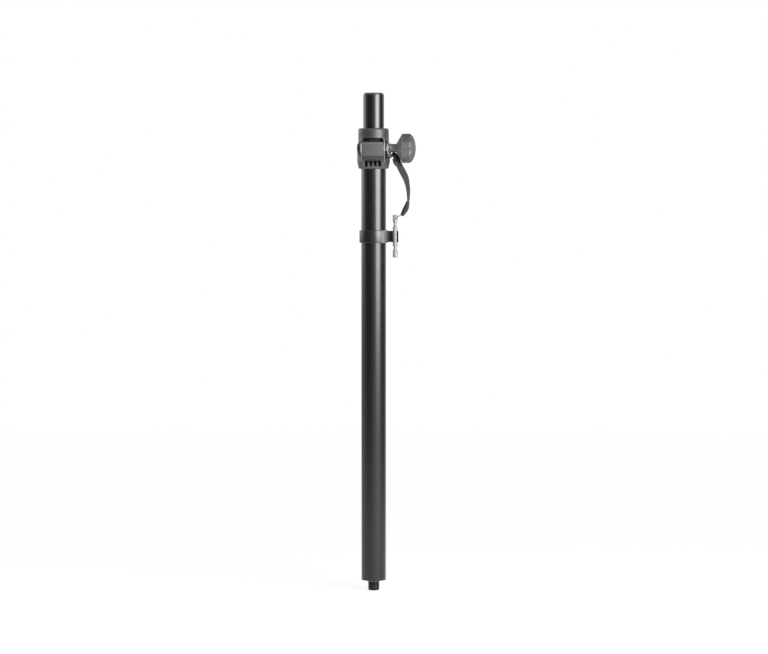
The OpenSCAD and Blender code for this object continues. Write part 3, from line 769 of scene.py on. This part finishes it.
rounded = [
    ["clamp_housing", "clampHousing", "base", "moulding", housingMoulding(housingMarks), 0.0005],
    ["pin_clip", "pinClip", "base", "moulding", clipMoulding(clipMarks), 0.0004],
    ["jaw_left", "jawLeft", "bolt_jaw", "knob_plastic", capMoulding("jawPlastic", capMarks), 0.0004],
    ["jaw_right", "jawRight", "knob_jaw", "knob_plastic", capMoulding("jawPlasticRight", capMarks), 0.0004],
]

for node, name, body, slot, material, width in rounded:
    roundedCopy(rounding, node, name, body, material, width)
print("edges rounded")

plain = {
    "lower_tube": tubeCoat(),
    "upper_tube": slidingCoat(),
    "base_plug": castPlug(),
    "stud_pin": zincSteel(),
    "plug_rivets": blackSteel(),
    "housing_screws": blackSteel(),
    "guide_bush": nylon(),
    "liner_ring": moulded("linerPlastic", (0.015, 0.015, 0.0155), 0.45),
    "strap_ring": brightSteel("ringSteel", 0.16).material,
    "top_cap": moulded("capPlastic", (0.018, 0.018, 0.0185), 0.38),
    "slide_bush": nylon(),
    "bush_rivets": zincSteel(),
    "clamp_bolt": blackSteel(),
    "head_washer": brightSteel("washerSteel", 0.2).material,
    "knob_washer": brightSteel("knobWasherSteel", 0.03).material,
    "knob_insert": zincSteel(),
    "locking_pin": pinSteel(pinMarks),
    "pin_ring": brightSteel("pinRingSteel", 0.08).material,
}

for node, material in plain.items():
    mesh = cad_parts[node].data
    mesh.materials.clear()
    mesh.materials.append(material)
print("CAD pieces finished")


# Stage: pale floor, white surroundings, one tall soft lamp in front on the right, a fill from behind on
# the left, another in front that gloss doesn't show, and two dark cards that only the gloss sees
stage = {
    "floor": -17.8,
    "floorSize": 60.0,
    "floorWhite": [0.9, 1.0],   # share of plain white that the camera sees, near the pole and far off
    "floorFade": [1.7, 1.3],    # metres from the pole: middle and half width of the change
    "surround": 0.45,
    "key": {"azimuth": 44.5, "distance": 1.7, "height": 1.06, "width": 1.22, "tall": 1.32, "power": 84.0},
    "fill": {"azimuth": -118.0, "distance": 2.2, "height": 1.3, "width": 1.6, "tall": 1.6, "power": 14.0},
    "leftFill": {"azimuth": -58.0, "distance": 2.0, "height": 0.8, "width": 1.4, "tall": 1.4, "power": 22.0},
    "cards": [
        {"azimuth": -42.0, "distance": 1.5, "low": -0.01, "high": 1.7, "width": 2.0},
        {"azimuth": 96.0, "distance": 1.5, "low": -0.01, "high": 1.7, "width": 1.0},
    ],
}


def flatPiece(name, corners, material):
    mesh = bpy.data.meshes.new(name)
    mesh.from_pydata(corners, [], [(0, 1, 2, 3)])
    piece = addPiece(name, mesh)
    mesh.materials.append(material)
    return piece


def makeFloor(c):
    half = c["floorSize"] / 2
    z = c["floor"] * mm
    f = Finish("paleFloor", (0.82, 0.82, 0.82), 0.9, Specular_IOR_Level=0.1)
    seen = f.node("ShaderNodeLightPath")
    away = f.node("ShaderNodeVectorMath", {"operation": "LENGTH"}, {0: f.place()}, output=1)
    near, far = c["floorWhite"]
    white = f.node("ShaderNodeEmission", None, {"Color": (1.0, 1.0, 1.0, 1.0), "Strength": 1.0})
    share = seen * (near + away.above(*c["floorFade"]) * (far - near))
    mixed = f.node("ShaderNodeMixShader", None, {0: share, 2: white})
    mixShader = mixed.socket.node
    f.tree.links.new(f.shader.outputs[0], mixShader.inputs[1])
    f.tree.links.new(mixed.socket, f.tree.nodes["Material Output"].inputs["Surface"])
    flatPiece("floor", [(-half, -half, z), (half, -half, z), (half, half, z), (-half, half, z)], f.material)


def makeCard(c):
    a, x, y = aroundPole(c)
    dx, dy = c["width"] / 2 * math.cos(a), c["width"] / 2 * math.sin(a)
    card = flatPiece("darkCard", [(x - dx, y - dy, c["low"]), (x + dx, y + dy, c["low"]),
                                  (x + dx, y + dy, c["high"]), (x - dx, y - dy, c["high"])],
                     Finish("darkCard", (0.02, 0.02, 0.02), 0.9, Specular_IOR_Level=0.0).material)
    card.visible_camera = card.visible_shadow = card.visible_diffuse = False


def makeLamp(name, c):
    data = bpy.data.lights.new(name, "AREA")
    data.shape = "RECTANGLE"
    data.size, data.size_y = c["width"], c["tall"]
    data.energy = c["power"]
    lamp = addPiece(name, data)
    a, x, y = aroundPole(c)
    lamp.location = (x, y, c["height"])
    lamp.rotation_euler = (math.radians(90.0), 0.0, a)
    lamp.visible_camera = False
    return lamp


def makeSurroundings(c):
    world = bpy.data.worlds.new("surroundings")
    world.use_nodes = True
    tree = world.node_tree
    tree.nodes.clear()

    def larger(first, second):
        made = tree.nodes.new("ShaderNodeMath")
        made.operation = "MAXIMUM"
        tree.links.new(first, made.inputs[0])
        tree.links.new(second, made.inputs[1])
        return made.outputs[0]

    ray = tree.nodes.new("ShaderNodeLightPath").outputs
    seen = larger(ray["Is Camera Ray"], larger(ray["Is Glossy Ray"], ray["Is Transmission Ray"]))
    strength = tree.nodes.new("ShaderNodeMapRange")
    strength.inputs["To Min"].default_value = c["surround"]
    strength.inputs["To Max"].default_value = 1.0
    tree.links.new(seen, strength.inputs["Value"])
    background = tree.nodes.new("ShaderNodeBackground")
    background.inputs["Color"].default_value = (1.0, 1.0, 1.0, 1.0)
    tree.links.new(strength.outputs[0], background.inputs["Strength"])
    output = tree.nodes.new("ShaderNodeOutputWorld")
    tree.links.new(background.outputs[0], output.inputs["Surface"])
    bpy.context.scene.world = world


makeFloor(stage)
for card in stage["cards"]:
    makeCard(card)
makeLamp("keyLamp", stage["key"])
makeLamp("fillLamp", stage["fill"])
makeLamp("leftFillLamp", stage["leftFill"]).visible_glossy = False
makeSurroundings(stage)
bpy.context.scene.view_settings.view_transform = "Standard"
print("stage lit")
